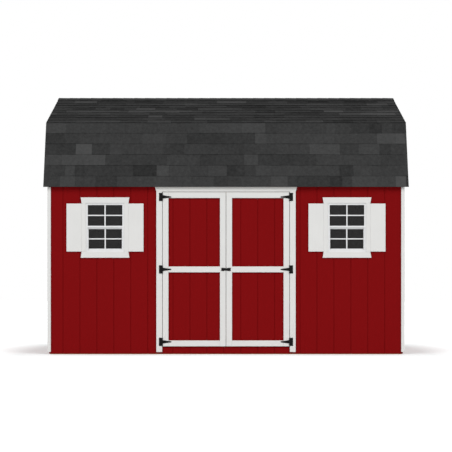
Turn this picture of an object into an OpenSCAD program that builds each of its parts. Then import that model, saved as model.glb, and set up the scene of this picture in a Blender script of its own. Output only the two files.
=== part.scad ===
// Gambrel-roofed wooden storage barn with a pair of hinged doors in its long front.
// Millimetres, +Z up, front towards -Y, origin on the ground at the middle of the footprint.

/* [Building] */
// Length over the siding of the gable walls
barn_length = 4245; // [3900:5:5500]
// Depth over the siding of the long walls
barn_depth = 3048; // [2700:8:3400]
// Height of the top of the long walls
wall_top = 2048; // [2040:2:2300]
// Height of the siding's lower edge above the ground
siding_lift = 8; // [2:1:20]

/* [Roof] */
// Horizontal reach of the eave beyond the long wall's siding
eave_overhang = 60; // [54:1:110]
// How far the eave's edge hangs below the top of the wall
eave_drop = 42; // [20:1:46]
// Reach of the roof beyond the siding of the gable walls
end_overhang = 64; // [40:1:150]
// Horizontal run of the steep lower slope
lower_run = 272; // [220:2:340]
// Rise of the steep lower slope
lower_rise = 802; // [700:2:900]
// Rise of the shallow upper slope
upper_rise = 480; // [380:2:600]
// Thickness of the shingles
shingle_t = 6; // [4:0.5:10]
// Thickness of the roof deck
deck_t = 12; // [9:0.5:18]
// How far the shingles run past the deck at its edges
shingle_lap = 10; // [4:1:20]
// Open joint between neighbouring sheets of roof deck
deck_joint = 3; // [1:0.5:5]
// Gap between the layers of the roof
layer_gap = 0.1; // [0.05:0.05:0.3]
// Width of the ridge cap on each slope
cap_width = 150; // [100:1:200]
// Thickness of the ridge cap
cap_t = 5; // [3:0.5:8]

/* [Framing] */
// Thickness of studs, plates, rafters and joists
stud_w = 38; // [34:1:45]
// Depth of studs, plates and rafters
stud_d = 89; // [80:1:100]
// Largest spacing of studs, joists and rafters
bay = 406; // [320:1:420]
// Open joint between butted boards of one kind
joint_gap = 0.5; // [0.2:0.1:0.8]
// Thickness of the gussets on the rafter joints
gusset_t = 12; // [9:0.5:18]
// Length of a gusset along each rafter
gusset_reach = 260; // [200:5:320]
// Depth of the beam over the doorway
beam_d = 89; // [70:1:100]

/* [Floor] */
// Depth of the floor joists
joist_d = 89; // [80:1:100]
// Thickness of the floor deck
floor_t = 16; // [12:1:20]

/* [Siding and trim] */
// Thickness of the siding
siding_t = 11; // [9:0.5:14]
// Thickness of the trim boards
trim_t = 19; // [15:1:22]
// Width of the corner boards
corner_w = 40; // [35:1:90]
// Height at which corner boards and door casings start
trim_lift = 28; // [20:1:40]
// Width of the rake boards under the gable edges of the roof
rake_w = 89; // [70:1:120]
// Thickness of the soffit strips under the eaves
soffit_t = 11; // [9:0.5:14]

/* [Doors] */
// Width of the doorway between its casings
door_w = 1530; // [1400:2:1600]
// Running gap round the door leaves
door_gap = 5; // [5:0.5:8]
// Gap between the back of the leaves and the wall frame
door_back_gap = 5; // [5:0.5:8]
// Distance from the top of the wall down to the top of the leaves
door_head_drop = 104; // [100:1:130]
// Height of the leaves' lower edge above the ground
door_sill = 96; // [90:1:110]
// Width of the leaves' stiles and rails
frame_w = 70; // [60:1:90]
// Height of the middle of the middle rail above the ground
mid_rail_z = 1018; // [900:1:1150]
// Width of the casings beside the doorway
casing_w = 70; // [60:1:90]
// Height of the board over the doorway
head_board_h = 70; // [50:1:75]
// Sideways slant of the head board's ends
head_slant = 20; // [0:1:40]

/* [Hinges] */
// Width of the butt plate on the casing
butt_w = 38; // [30:1:55]
// Height of the butt plate
butt_h = 98; // [86:1:120]
// Length of the strap from the pin to its tip
strap_length = 108; // [90:1:200]
// Height of the strap at the pin
strap_root = 42; // [34:1:50]
// Height of the strap at its round tip
strap_tip = 13; // [10:1:20]
// Thickness of the hinge plates and latch plates
plate_t = 3; // [2:0.5:4]
// Radius of the hinge knuckles
knuckle_r = 6; // [5:0.5:8]
// Radius of the hinge pins
pin_r = 3; // [2:0.25:3.5]
// Radial play of the pins in the straps' knuckles
pin_play = 0.05; // [0.02:0.01:0.1]
// Gap between neighbouring knuckles
knuckle_gap = 0.4; // [0.3:0.1:1]
// Gap between the knuckles and the face of the door
knuckle_lift = 1; // [0.5:0.1:1.5]
// Distance of the top hinges below the leaves' upper edge
top_hinge_drop = 58; // [55:1:90]
// Height of the bottom hinges above the leaves' lower edge
bottom_hinge_rise = 54; // [52:1:90]

/* [Latch] */
// Length of the bolt and keeper together
latch_length = 112; // [100:1:130]
// Height of the latch's end plates
latch_h = 38; // [32:1:50]
// Width of the latch's end plates
latch_end = 34; // [28:1:38]
// Height of the latch between its end plates
latch_waist = 30; // [20:1:36]
// Radius of the barrel that holds the bolt
barrel_r = 8; // [7:0.5:9]
// Radius of the bolt
bolt_r = 5; // [4:0.5:5.5]
// Radial play of the bolt in its keeper
bolt_play = 0.5; // [0.3:0.1:0.8]
// Length of the bolt's knob
knob_length = 12; // [8:1:14]

/* [Windows] */
// How far each window's middle lies outwards of the middle of its wall
window_shift = 7; // [-40:1:40]
// Height of the window's lower edge
window_z = 1228; // [1150:1:1260]
// Width of the window
window_w = 457; // [420:1:500]
// Height of the window
window_h = 584; // [520:1:600]
// Gap between the window and the wall round it
window_fit = 0.5; // [0.2:0.1:0.8]
// Depth of the window's frame
window_d = 60; // [50:1:80]
// How far the window's frame stands out of the siding
window_proud = 8; // [4:1:14]
// Width of the window frame's head and sides
window_side = 21; // [16:1:26]
// Width of the lower sash's stiles beside the window's sides
sash_stile = 8; // [6:1:16]
// Height of the meeting rail between the sashes
meeting_rail = 38; // [30:1:50]
// How much taller the upper sash's glass is than the lower one's
sash_extra = 14; // [0:1:30]
// Height of the lower sash's bottom rail
bottom_rail = 40; // [30:1:50]
// How far the lower sash lies behind the upper one
sash_step = 22; // [16:1:26]
// Thickness of the glass
glass_t = 4; // [3:0.5:6]
// Gap between the glass and its frame
glass_fit = 0.25; // [0.1:0.05:0.5]
// Width of the casings beside a window
window_casing = 52; // [40:1:65]
// Height of the boards over and under a window
window_board = 70; // [50:1:90]
// Sideways slant of those boards' ends
window_slant = 12; // [0:1:20]
// Share that a shutter takes of the wall from the door casing to the window's middle
shutter_share = 181; // [100:1:220]
// Share of that wall that stays bare between the door casing and the shutter
shutter_margin = 154; // [100:1:250]
// Height of a shutter
shutter_h = 576; // [500:1:600]

/* [Hidden] */

// Facets of round pieces and the overlap used where one shape cuts another
$fn = 48;
cut = 1;
sides = [-1, 1];

barn_red = "firebrick";
trim_white = "white";
charcoal = "dimgray";
bare_wood = "burlywood";
sheet_wood = "tan";
black_iron = "black";

// Half sizes of the siding's outer faces and of the wall frame inside it
half_x = barn_length / 2;
half_y = barn_depth / 2;
frame_x = half_x - siding_t;
frame_y = half_y - siding_t;
room_x = frame_x - stud_d;
room_y = frame_y - stud_d;

// Levels of the floor and the walls
floor_z = joist_d + floor_t;
stud_foot = floor_z + stud_w;
stud_head = wall_top - stud_w;

// Roof: slopes, outward normals and uphill directions of the back half, in (y, z)
eave_y = half_y + eave_overhang;
eave_z = wall_top - eave_drop;
break_y = eave_y - lower_run;
break_z = eave_z + lower_rise;
ridge_z = break_z + upper_rise;
lower_angle = atan2(lower_rise, lower_run);
upper_angle = atan2(upper_rise, break_y);
lower_out = [sin(lower_angle), cos(lower_angle)];
upper_out = [sin(upper_angle), cos(upper_angle)];
lower_up = [-cos(lower_angle), sin(lower_angle)];
upper_up = [-cos(upper_angle), sin(upper_angle)];
miter = (lower_out + upper_out) / (1 + lower_out * upper_out);
roof_x = half_x + end_overhang;

// Depths of the roof's layers below the outer surface of the shingles
deck_top = shingle_t + layer_gap;
deck_under = deck_top + deck_t;
rafter_top = deck_under + layer_gap;
rafter_under = rafter_top + stud_d;
stud_top = rafter_under + layer_gap;

// Points at a depth d below the roof's surface: at the break, at the ridge, at the eave and at a level
function at_break(d) = [break_y, break_z] - d * miter;
function at_ridge(d) = [0, ridge_z - d / upper_out[1]];
function at_eave(d) = [eave_y, eave_z] - d * lower_out;
function at_level(d, z) = [eave_y - d / lower_out[0] - (z - eave_z) / tan(lower_angle), z];
function level_over(d, y) = eave_z + (eave_y - d / lower_out[0] - y) * tan(lower_angle);

// Evenly spaced middles of bars between two ends, no further apart than one bay
function spaced(low, high) =
    let (count = ceil((high - low) / bay))
    [for (i = [0:count]) low + (high - low) * i / count];
truss_x = spaced(-frame_x + stud_w / 2, frame_x - stud_w / 2);
inner_truss_x = [for (i = [1:len(truss_x) - 2]) truss_x[i]];
gable_stud_y = spaced(-room_y + joint_gap + stud_w / 2, room_y - joint_gap - stud_w / 2);

// Doorway, leaves and the plane of their front face
door_x = door_w / 2;
leaf_x = door_x - door_gap;
leaf_top = wall_top - door_head_drop;
leaf_back_y = -frame_y - door_back_gap;
panel_front_y = leaf_back_y - siding_t;
face_y = panel_front_y - trim_t;
beam_bottom = stud_head - beam_d;

// Hinge pins, and the heights of the three hinges on each leaf
pin_x = door_x - door_gap / 2;
pin_y = face_y - knuckle_lift - knuckle_r;
hinge_z = [door_sill + bottom_hinge_rise, mid_rail_z, leaf_top - top_hinge_drop];
butt_knuckle = (butt_h - strap_root) / 2 - knuckle_gap;

// Axis of the latch's barrel, whose back is sunk into the latch plate
barrel_y = face_y - plate_t / 2 - barrel_r;

// Windows: rough opening, glass openings and trim
window_x = (half_x + door_x) / 2 + window_shift;
window_top = window_z + window_h;
rough_x = window_w / 2 + window_fit;
upper_glass_w = window_w - 2 * window_side;
lower_glass_w = upper_glass_w - 2 * sash_stile;
glass_h = window_h - window_side - meeting_rail - bottom_rail;
lower_glass_h = (glass_h - sash_extra) / 2;
upper_glass_h = (glass_h + sash_extra) / 2;
lower_glass_z = window_z + bottom_rail;
upper_glass_z = lower_glass_z + lower_glass_h + meeting_rail;
window_front_y = -half_y - window_proud;
casing_x = window_w / 2 + window_casing;
half_wall = window_x - door_x - casing_w;
shutter_w = half_wall * shutter_share / (shutter_share + shutter_margin + casing_x);
front_stud_x = [
    frame_x - stud_w / 2,
    window_x + rough_x + stud_w / 2,
    window_x - rough_x - stud_w / 2,
    door_x + stud_w / 2,
];

// A box between two corners
module block(low, high) {
    translate(low) cube(high - low);
}

// A (y, z) outline of the back half, turned to the front for side -1, carried along X
module along_x(low, high, side, outline) {
    translate([low, 0, 0])
        rotate([90, 0, 90])
            linear_extrude(height = high - low)
                polygon([for (point = outline) [side * point[0], point[1]]]);
}

// An (x, z) outline that stands on a front plane y and reaches a thickness forward of it
module on_front(y, thickness) {
    translate([0, y, 0])
        rotate([90, 0, 0])
            linear_extrude(height = thickness)
                children();
}

// Floor
module floor_joists() {
    color(bare_wood)
        for (x = inner_truss_x)
            block([x - stud_w / 2, -frame_y + stud_w, 0], [x + stud_w / 2, frame_y - stud_w, joist_d]);
}

module rim_joists() {
    end_y = frame_y - stud_w - joint_gap;
    color(bare_wood)
        for (side = sides) {
            translate([0, side * (frame_y - stud_w / 2), 0])
                block([-frame_x, -stud_w / 2, 0], [frame_x, stud_w / 2, joist_d]);
            translate([side * (frame_x - stud_w / 2), 0, 0])
                block([-stud_w / 2, -end_y, 0], [stud_w / 2, end_y, joist_d]);
        }
}

module floor_deck() {
    color(sheet_wood)
        block([-frame_x, -frame_y, joist_d], [frame_x, frame_y, floor_z]);
}

// Wall frame
module gable_plates(low, high) {
    end_y = room_y - joint_gap;
    for (side = sides)
        translate([side * (frame_x - stud_d / 2), 0, 0])
            block([-stud_d / 2, -end_y, low], [stud_d / 2, end_y, high]);
}

module bottom_plates() {
    color(bare_wood) {
        for (side = sides)
            translate([side * (frame_x + door_x) / 2, 0, 0])
                block([(door_x - frame_x) / 2, -frame_y, floor_z], [(frame_x - door_x) / 2, -room_y, stud_foot]);
        block([-frame_x, room_y, floor_z], [frame_x, frame_y, stud_foot]);
        gable_plates(floor_z, stud_foot);
    }
}

module top_plates() {
    color(bare_wood) {
        for (side = sides)
            translate([0, side * (frame_y - stud_d / 2), 0])
                block([-frame_x, -stud_d / 2, stud_head], [frame_x, stud_d / 2, wall_top]);
        gable_plates(stud_head, wall_top);
    }
}

module front_stud(x, top) {
    block([x - stud_w / 2, -frame_y, stud_foot], [x + stud_w / 2, -room_y, top]);
}

module front_studs() {
    color(bare_wood)
        for (side = sides) {
            for (x = front_stud_x)
                front_stud(side * x, stud_head);
            front_stud(side * window_x, window_z - window_fit - stud_w);
        }
}

module back_studs() {
    color(bare_wood)
        for (x = truss_x)
            block([x - stud_w / 2, room_y, stud_foot], [x + stud_w / 2, frame_y, stud_head]);
}

// Gable studs run from plate to plate, and on from the top plate to the end rafters
module gable_studs() {
    under_rafters = [
        at_level(stud_top, wall_top), at_break(stud_top), at_ridge(stud_top),
    ];
    color(bare_wood)
        for (side = sides)
            for (y = gable_stud_y)
                translate([side * (frame_x - stud_d / 2), y, 0]) {
                    block([-stud_d / 2, -stud_w / 2, stud_foot], [stud_d / 2, stud_w / 2, stud_head]);
                    intersection() {
                        block([-stud_d / 2, -stud_w / 2, wall_top], [stud_d / 2, stud_w / 2, ridge_z]);
                        translate([0, -y, 0])
                            along_x(-stud_d, stud_d, 1, [
                                under_rafters[0], under_rafters[1], under_rafters[2],
                                [-under_rafters[1][0], under_rafters[1][1]],
                                [-under_rafters[0][0], under_rafters[0][1]],
                            ]);
                    }
                }
}

// Beam over the doorway, and a sill and a head for each window
module opening_framing() {
    color(bare_wood) {
        block([-door_x, -frame_y, beam_bottom], [door_x, -frame_y + stud_w, stud_head]);
        for (side = sides)
            for (low = [window_z - window_fit - stud_w, window_top + window_fit])
                translate([side * window_x, 0, low])
                    block([-rough_x, -frame_y, 0], [rough_x, -room_y, stud_w]);
    }
}

// Roof frame: convex rafters with a level seat, a mitre at the break and a plumb cut at the ridge
module lower_rafters() {
    color(bare_wood)
        for (x = truss_x, side = sides)
            along_x(x - stud_w / 2, x + stud_w / 2, side, [
                at_level(rafter_top, wall_top), at_break(rafter_top),
                at_break(rafter_under), at_level(rafter_under, wall_top),
            ]);
}

module upper_rafters() {
    plumb = [joint_gap / 2, 0];
    color(bare_wood)
        for (x = truss_x, side = sides)
            along_x(x - stud_w / 2, x + stud_w / 2, side, [
                at_break(rafter_top), at_ridge(rafter_top) + plumb,
                at_ridge(rafter_under) + plumb, at_break(rafter_under),
            ]);
}

// Five-sided plates on both faces of the rafters that tie them at each break and at the ridge
module rafter_gussets() {
    outer_end = at_ridge(rafter_top) - gusset_reach * upper_up;
    inner_end = at_ridge(rafter_under) - gusset_reach * upper_up;
    color(sheet_wood)
        for (x = inner_truss_x, low = [x - stud_w / 2 - gusset_t, x + stud_w / 2]) {
            for (side = sides)
                along_x(low, low + gusset_t, side, [
                    at_break(rafter_top) - gusset_reach * lower_up,
                    at_break(rafter_top),
                    at_break(rafter_top) + gusset_reach * upper_up,
                    at_break(rafter_under) + gusset_reach * upper_up,
                    at_break(rafter_under) - gusset_reach * lower_up,
                ]);
            along_x(low, low + gusset_t, 1, [
                outer_end, at_ridge(rafter_top), [-outer_end[0], outer_end[1]],
                [-inner_end[0], inner_end[1]], inner_end,
            ]);
        }
}

// Siding
module front_siding(side) {
    mid_x = side * (half_x + door_x) / 2;
    reach = (half_x - door_x) / 2;
    color(barn_red)
        difference() {
            block([mid_x - reach, -half_y, siding_lift], [mid_x + reach, -frame_y, wall_top]);
            translate([side * window_x, 0, 0])
                block([-rough_x, -half_y - cut, window_z - window_fit],
                      [rough_x, -frame_y + cut, window_top + window_fit]);
        }
}

module front_siding_left() {
    front_siding(-1);
}

module front_siding_right() {
    front_siding(1);
}

module door_siding_strips() {
    color(barn_red) {
        block([-door_x, -half_y, siding_lift], [door_x, -frame_y, door_sill - door_gap]);
        block([-door_x, -half_y, leaf_top + door_gap], [door_x, -frame_y, wall_top]);
    }
}

module back_siding() {
    color(barn_red)
        block([-half_x, frame_y, siding_lift], [half_x, half_y, wall_top]);
}

module gable_siding(side) {
    shoulder = level_over(rafter_top, frame_y);
    bend = at_break(rafter_top);
    color(barn_red)
        translate([side * (half_x - siding_t / 2), 0, 0])
            along_x(-siding_t / 2, siding_t / 2, 1, [
                [frame_y, siding_lift], [frame_y, shoulder], bend, at_ridge(rafter_top),
                [-bend[0], bend[1]], [-frame_y, shoulder], [-frame_y, siding_lift],
            ]);
}

module left_gable_siding() {
    gable_siding(-1);
}

module right_gable_siding() {
    gable_siding(1);
}

module eave_soffits() {
    low = wall_top - soffit_t;
    clear = [joint_gap, 0];
    color(barn_red)
        for (side = sides)
            along_x(-half_x, half_x, side, [
                [half_y, low], at_level(deck_under, low) - clear,
                at_level(deck_under, wall_top) - clear, [half_y, wall_top],
            ]);
}

// Roof skin
module roof_decks() {
    reach = roof_x - shingle_lap;
    lower_gap = lower_up * deck_joint / 2;
    upper_gap = upper_up * deck_joint / 2;
    lap = lower_up * shingle_lap;
    color(sheet_wood)
        for (side = sides) {
            along_x(-reach, reach, side, [
                at_eave(deck_top) + lap, at_break(deck_top) - lower_gap,
                at_break(deck_under) - lower_gap, at_eave(deck_under) + lap,
            ]);
            along_x(-reach, reach, side, [
                at_break(deck_top) + upper_gap, at_ridge(deck_top) - upper_gap,
                at_ridge(deck_under) - upper_gap, at_break(deck_under) + upper_gap,
            ]);
        }
}

module lower_shingles() {
    color(charcoal)
        for (side = sides)
            along_x(-roof_x, roof_x, side, [
                at_eave(0), at_break(0), at_break(shingle_t), at_eave(shingle_t),
            ]);
}

module upper_shingles(side) {
    color(charcoal)
        along_x(-roof_x, roof_x, side, [
            at_break(0), at_ridge(0), at_ridge(shingle_t), at_break(shingle_t),
        ]);
}

module front_upper_shingles() {
    upper_shingles(-1);
}

module back_upper_shingles() {
    upper_shingles(1);
}

module ridge_cap() {
    cap_under = -layer_gap;
    cap_top = cap_under - cap_t;
    outer_end = at_ridge(cap_top) - cap_width * upper_up;
    inner_end = at_ridge(cap_under) - cap_width * upper_up;
    color(charcoal)
        along_x(-roof_x, roof_x, 1, [
            outer_end, at_ridge(cap_top), [-outer_end[0], outer_end[1]],
            [-inner_end[0], inner_end[1]], at_ridge(cap_under), inner_end,
        ]);
}

// Trim
module long_side_corner_boards() {
    outer = half_x + trim_t;
    color(trim_white)
        for (end = sides, side = sides)
            translate([end * (outer - corner_w / 2), side * (half_y + trim_t / 2), 0])
                block([-corner_w / 2, -trim_t / 2, trim_lift], [corner_w / 2, trim_t / 2, eave_z - joint_gap]);
}

module gable_corner_boards() {
    color(trim_white)
        for (end = sides, side = sides)
            translate([end * (half_x + trim_t / 2), side * (half_y - corner_w / 2), 0])
                block([-trim_t / 2, -corner_w / 2, trim_lift], [trim_t / 2, corner_w / 2, eave_z - joint_gap]);
}

module rake_boards() {
    rake_under = rafter_top + rake_w;
    lower_gap = lower_up * joint_gap / 2;
    upper_gap = upper_up * joint_gap / 2;
    color(trim_white)
        for (end = sides, side = sides)
            translate([end * (half_x + trim_t / 2), 0, 0]) {
                along_x(-trim_t / 2, trim_t / 2, side, [
                    at_level(rafter_top, eave_z), at_break(rafter_top) - lower_gap,
                    at_break(rake_under) - lower_gap, at_level(rake_under, eave_z),
                ]);
                along_x(-trim_t / 2, trim_t / 2, side, [
                    at_break(rafter_top) + upper_gap, at_ridge(rafter_top) - upper_gap,
                    at_ridge(rake_under) - upper_gap, at_break(rake_under) + upper_gap,
                ]);
            }
}

module door_side_casings() {
    color(trim_white)
        for (side = sides)
            translate([side * (door_x + casing_w / 2), 0, 0])
                block([-casing_w / 2, face_y, trim_lift], [casing_w / 2, -half_y, leaf_top + door_gap]);
}

module door_head_board() {
    low_x = door_x + casing_w;
    low = leaf_top + door_gap;
    color(trim_white)
        on_front(-half_y, -half_y - face_y)
            polygon([
                [-low_x, low], [low_x, low],
                [low_x + head_slant, low + head_board_h], [-low_x - head_slant, low + head_board_h],
            ]);
}

module window_head_and_sill_boards() {
    wide = casing_x + window_slant;
    color(trim_white)
        for (side = sides)
            translate([side * window_x, 0, 0])
                on_front(-half_y, trim_t) {
                    polygon([
                        [-casing_x, window_top], [casing_x, window_top],
                        [wide, window_top + window_board], [-wide, window_top + window_board],
                    ]);
                    polygon([
                        [-casing_x, window_z], [casing_x, window_z],
                        [wide, window_z - window_board], [-wide, window_z - window_board],
                    ]);
                }
}

module window_side_casings() {
    color(trim_white)
        for (side = sides, edge = sides)
            translate([side * window_x + edge * (window_w + window_casing) / 2, 0, 0])
                block([-window_casing / 2, -half_y - trim_t, window_z],
                      [window_casing / 2, -half_y, window_top]);
}

module shutters() {
    mid_z = window_z + window_h / 2;
    color(trim_white)
        for (side = sides, edge = sides)
            translate([side * window_x + edge * (casing_x + shutter_w / 2), -half_y - trim_t / 2, mid_z])
                cube([shutter_w, trim_t, shutter_h], center = true);
}

// Windows: one frame with an upper sash at its front and a lower sash set back behind it
module window_frame() {
    lower_front = window_front_y + sash_step;
    back_y = window_front_y + window_d;
    difference() {
        block([-window_w / 2, window_front_y, window_z], [window_w / 2, back_y, window_top]);
        block([-upper_glass_w / 2, window_front_y - cut, upper_glass_z],
              [upper_glass_w / 2, back_y + cut, upper_glass_z + upper_glass_h]);
        block([-lower_glass_w / 2, window_front_y - cut, lower_glass_z],
              [lower_glass_w / 2, back_y + cut, lower_glass_z + lower_glass_h]);
        block([-upper_glass_w / 2, window_front_y - cut, window_z + window_side],
              [upper_glass_w / 2, lower_front, upper_glass_z - meeting_rail / 2]);
    }
}

module window_frames() {
    color(trim_white)
        for (side = sides)
            translate([side * window_x, 0, 0])
                window_frame();
}

module pane(width, height, low, y) {
    block([-width / 2 + glass_fit, y, low + glass_fit],
          [width / 2 - glass_fit, y + glass_t, low + height - glass_fit]);
}

module window_glass() {
    upper_y = window_front_y + sash_step / 2;
    color("darkslategray")
        for (side = sides)
            translate([side * window_x, 0, 0]) {
                pane(upper_glass_w, upper_glass_h, upper_glass_z, upper_y);
                pane(lower_glass_w, lower_glass_h, lower_glass_z, upper_y + sash_step);
            }
}

// T hinges: the butt carries the pin and two knuckles, the strap has one knuckle between them
module hinge_butt() {
    notch_x = knuckle_r + knuckle_gap;
    notch_z = strap_root / 2 + knuckle_gap;
    difference() {
        block([0, face_y - plate_t, -butt_h / 2], [door_gap / 2 + butt_w, face_y, butt_h / 2]);
        block([-cut, face_y - plate_t - cut, -notch_z], [notch_x, face_y + cut, notch_z]);
    }
    translate([0, pin_y, -butt_h / 2]) {
        cylinder(r = knuckle_r, h = butt_knuckle);
        translate([0, 0, butt_h - butt_knuckle])
            cylinder(r = knuckle_r, h = butt_knuckle);
        cylinder(r = pin_r, h = butt_h);
    }
}

module hinge_strap(side) {
    tip_x = -side * (strap_length - strap_tip / 2);
    difference() {
        union() {
            on_front(face_y, plate_t)
                polygon([
                    [0, -strap_root / 2], [0, strap_root / 2],
                    [tip_x, strap_tip / 2], [tip_x, -strap_tip / 2],
                ]);
            translate([tip_x, face_y, 0])
                rotate([90, 0, 0])
                    cylinder(d = strap_tip, h = plate_t);
            translate([0, pin_y, -strap_root / 2])
                cylinder(r = knuckle_r, h = strap_root);
        }
        translate([0, pin_y, -strap_root / 2 - cut])
            cylinder(r = pin_r + pin_play, h = strap_root + 2 * cut);
    }
}

// A piece that is drawn for the right side, mirrored for side -1
module handed(side) {
    mirror([side < 0 ? 1 : 0, 0, 0])
        children();
}

module hinge_butts() {
    color(black_iron)
        for (side = sides, z = hinge_z)
            handed(side)
                translate([pin_x, 0, z])
                    hinge_butt();
}

module hinge_straps(side) {
    color(black_iron)
        for (z = hinge_z)
            translate([side * pin_x, 0, z])
                hinge_strap(side);
}

// Door leaves
module leaf_panel(side) {
    color(barn_red)
        handed(side)
            block([door_gap / 2, panel_front_y, door_sill], [leaf_x, leaf_back_y, leaf_top]);
}

module leaf_stiles(side) {
    color(trim_white)
        handed(side)
            for (low = [door_gap / 2, leaf_x - frame_w])
                block([low, face_y, door_sill], [low + frame_w, panel_front_y, leaf_top]);
}

module leaf_rails(side) {
    color(trim_white)
        handed(side)
            for (low = [door_sill, mid_rail_z - frame_w / 2, leaf_top - frame_w])
                block([door_gap / 2 + frame_w, face_y, low], [leaf_x - frame_w, panel_front_y, low + frame_w]);
}

module left_leaf_panel() {
    leaf_panel(-1);
}

module left_leaf_stiles() {
    leaf_stiles(-1);
}

module left_leaf_rails() {
    leaf_rails(-1);
}

module left_hinge_straps() {
    hinge_straps(-1);
}

module right_leaf_panel() {
    leaf_panel(1);
}

module right_leaf_stiles() {
    leaf_stiles(1);
}

module right_leaf_rails() {
    leaf_rails(1);
}

module right_hinge_straps() {
    hinge_straps(1);
}

// Latch: half of the plates and the barrel, drawn for the right leaf
module latch_half() {
    end_x = latch_length / 2;
    start_x = door_gap / 2 + joint_gap;
    translate([0, 0, mid_rail_z]) {
        on_front(face_y, plate_t)
            polygon([
                [start_x, -latch_waist / 2], [end_x - latch_end, -latch_waist / 2],
                [end_x - latch_end, -latch_h / 2], [end_x, -latch_h / 2],
                [end_x, latch_h / 2], [end_x - latch_end, latch_h / 2],
                [end_x - latch_end, latch_waist / 2], [start_x, latch_waist / 2],
            ]);
        translate([start_x, barrel_y, 0])
            rotate([0, 90, 0])
                cylinder(r = barrel_r, h = end_x - latch_end - start_x);
    }
}

// Bolt drawn back into its barrel, with its knob on the end plate
module latch_bolt() {
    end_x = latch_length / 2;
    color(black_iron)
        handed(-1) {
            latch_half();
            translate([end_x - latch_end, barrel_y, mid_rail_z])
                rotate([0, 90, 0])
                    cylinder(r = bolt_r, h = latch_end);
            translate([end_x - latch_end / 2, barrel_y, mid_rail_z])
                rotate([90, 0, 0])
                    cylinder(r = bolt_r / 2, h = knob_length);
        }
}

// Keeper with the socket that takes the bolt
module latch_keeper() {
    color(black_iron)
        difference() {
            latch_half();
            translate([0, barrel_y, mid_rail_z])
                rotate([0, 90, 0])
                    cylinder(r = bolt_r + bolt_play, h = latch_length / 2 + cut);
        }
}

floor_joists();
rim_joists();
floor_deck();
bottom_plates();
front_studs();
back_studs();
gable_studs();
top_plates();
opening_framing();
lower_rafters();
upper_rafters();
rafter_gussets();
front_siding_left();
front_siding_right();
door_siding_strips();
back_siding();
left_gable_siding();
right_gable_siding();
eave_soffits();
roof_decks();
lower_shingles();
front_upper_shingles();
back_upper_shingles();
ridge_cap();
long_side_corner_boards();
gable_corner_boards();
rake_boards();
door_side_casings();
door_head_board();
window_head_and_sill_boards();
window_side_casings();
shutters();
window_frames();
window_glass();
hinge_butts();
left_leaf_panel();
left_leaf_stiles();
left_leaf_rails();
left_hinge_straps();
latch_bolt();
right_leaf_panel();
right_leaf_stiles();
right_leaf_rails();
right_hinge_straps();
latch_keeper();
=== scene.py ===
# %% [markdown]
# # A red garden barn
# This lesson dresses a barn that was first built as solid parts. The solid parts stay where they are and
# give every place and size. On top of them come the things you see when you stand close to a real barn:
# grooves in the siding, eased edges on the trim boards, shingle tabs, window bars, screws and paint.

# %% Load the solid parts
import math

import bpy
import numpy as np
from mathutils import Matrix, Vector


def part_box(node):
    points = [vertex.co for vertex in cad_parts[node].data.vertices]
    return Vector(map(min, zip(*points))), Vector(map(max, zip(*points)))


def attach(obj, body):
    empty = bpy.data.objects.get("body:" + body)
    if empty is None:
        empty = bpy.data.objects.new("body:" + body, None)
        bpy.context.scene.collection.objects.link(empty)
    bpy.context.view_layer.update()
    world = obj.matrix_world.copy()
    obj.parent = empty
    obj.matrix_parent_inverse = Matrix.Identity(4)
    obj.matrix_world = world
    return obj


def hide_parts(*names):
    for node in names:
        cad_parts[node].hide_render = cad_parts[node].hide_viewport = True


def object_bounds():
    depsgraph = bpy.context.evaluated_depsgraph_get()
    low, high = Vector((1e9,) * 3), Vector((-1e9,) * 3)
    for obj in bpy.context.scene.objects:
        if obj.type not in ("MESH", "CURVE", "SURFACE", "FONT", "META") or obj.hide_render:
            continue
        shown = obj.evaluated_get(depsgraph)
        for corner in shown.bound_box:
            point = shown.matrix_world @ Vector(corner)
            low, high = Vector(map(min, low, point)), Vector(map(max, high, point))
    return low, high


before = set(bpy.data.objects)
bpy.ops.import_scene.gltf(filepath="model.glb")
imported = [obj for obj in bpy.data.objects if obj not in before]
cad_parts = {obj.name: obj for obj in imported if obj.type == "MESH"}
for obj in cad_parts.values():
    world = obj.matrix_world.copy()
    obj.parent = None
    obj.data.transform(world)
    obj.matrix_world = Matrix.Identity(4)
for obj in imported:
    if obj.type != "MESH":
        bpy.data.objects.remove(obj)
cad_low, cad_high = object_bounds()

print("nodes:", len(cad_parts), "size in metres:", [round(v, 3) for v in cad_high - cad_low])

# %% [markdown]
# ## Walls as directions
# Most pieces of a barn lie flat on one of its four walls. You could model them on one wall and turn
# copies round to the others. It is simpler to speak of a point on a wall the way a builder does: how far
# along, how high, how far out. One pair of directions for each wall turns such a point into a place in
# the scene and back, so every later function is written once for all four walls, and no object has to be
# turned.

# %% Wall directions
WALLS = {
    "front": (np.array([1.0, 0.0, 0.0]), np.array([0.0, -1.0, 0.0])),
    "right": (np.array([0.0, 1.0, 0.0]), np.array([1.0, 0.0, 0.0])),
    "back": (np.array([-1.0, 0.0, 0.0]), np.array([0.0, 1.0, 0.0])),
    "left": (np.array([0.0, -1.0, 0.0]), np.array([-1.0, 0.0, 0.0])),
}
UP = np.array([0.0, 0.0, 1.0])


def to_wall(points, side):
    """Gives each point's distance along the wall, its height and its distance out."""
    along, out = WALLS[side]
    return points @ along, points @ UP, points @ out


def from_wall(along, height, out, side):
    """Gives the place in the scene of points that are told along a wall, upward and outward."""
    along, height, out = np.broadcast_arrays(along, height, out)
    direction, outward = WALLS[side]
    return along[..., None] * direction + height[..., None] * UP + out[..., None] * outward


def nearest_wall(points, sides):
    """Picks the wall that a solid lies on, by how far out its middle is."""
    middle = points.mean(axis=0)
    return max(sides, key=lambda side: middle @ WALLS[side][1])


print("walls:", ", ".join(WALLS))

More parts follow.
